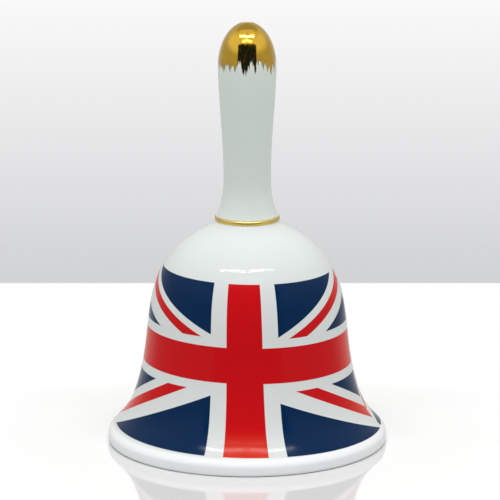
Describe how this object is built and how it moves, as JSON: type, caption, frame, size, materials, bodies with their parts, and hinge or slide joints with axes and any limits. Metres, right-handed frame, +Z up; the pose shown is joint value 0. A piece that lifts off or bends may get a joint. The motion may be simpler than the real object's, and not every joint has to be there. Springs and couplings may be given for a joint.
{
  "type": "hand bell",
  "caption": "Porcelain hand bell: a flared shell that stands on its lip, a long round handle and a bead clapper hung on a wire chain inside.",
  "frame": {"origin": "centre of the ring that the lip stands on", "axes": "+Z up along the bell's axis; -Y is the front, where the flag faces; +X is to the right seen from the front"},
  "size_m": [0.079, 0.079, 0.12],
  "materials": {
    "shell_glaze": "clear gloss glaze over white porcelain, with a fired flag decal and a gold line at the neck",
    "handle_glaze": "clear gloss glaze over white porcelain, with a brushed gold top",
    "cement": "matt set cement",
    "brass_wire": "drawn wire, lightly tarnished",
    "bead_glaze": "gloss glazed bead"
  },
  "bodies": {
    "bell": {"bell_shell": "shell_glaze", "handle": "handle_glaze", "crown_plug": "cement", "crown_staple": "brass_wire"},
    "link_1": {"chain_link_1": "brass_wire"},
    "link_2": {"chain_link_2": "brass_wire"},
    "link_3": {"chain_link_3": "brass_wire"},
    "link_4": {"chain_link_4": "brass_wire"},
    "link_5": {"chain_link_5": "brass_wire"},
    "link_6": {"chain_link_6": "brass_wire"},
    "clapper": {"clapper_pin": "brass_wire", "clapper_ball": "bead_glaze"}
  },
  "joints": [
    {"name": "link_1_swing", "type": "hinge", "parent": "bell", "child": "link_1", "pos_m": [0, 0, 0.055], "axis": [0, 1, 0], "range_deg": [-22, 22]},
    {"name": "link_2_swing", "type": "hinge", "parent": "link_1", "child": "link_2", "pos_m": [0, 0, 0.04985], "axis": [1, 0, 0], "range_deg": [-10, 10]},
    {"name": "link_3_swing", "type": "hinge", "parent": "link_2", "child": "link_3", "pos_m": [0, 0, 0.0446], "axis": [0, 1, 0], "range_deg": [-3, 3]},
    {"name": "link_4_swing", "type": "hinge", "parent": "link_3", "child": "link_4", "pos_m": [0, 0, 0.03935], "axis": [1, 0, 0], "range_deg": [-3, 3]},
    {"name": "link_5_swing", "type": "hinge", "parent": "link_4", "child": "link_5", "pos_m": [0, 0, 0.0341], "axis": [0, 1, 0], "range_deg": [-3, 3]},
    {"name": "link_6_swing", "type": "hinge", "parent": "link_5", "child": "link_6", "pos_m": [0, 0, 0.02885], "axis": [1, 0, 0], "range_deg": [-3, 3]},
    {"name": "clapper_swing", "type": "hinge", "parent": "link_6", "child": "clapper", "pos_m": [0, 0, 0.0236], "axis": [0, 1, 0], "range_deg": [-3, 3]}
  ]
}
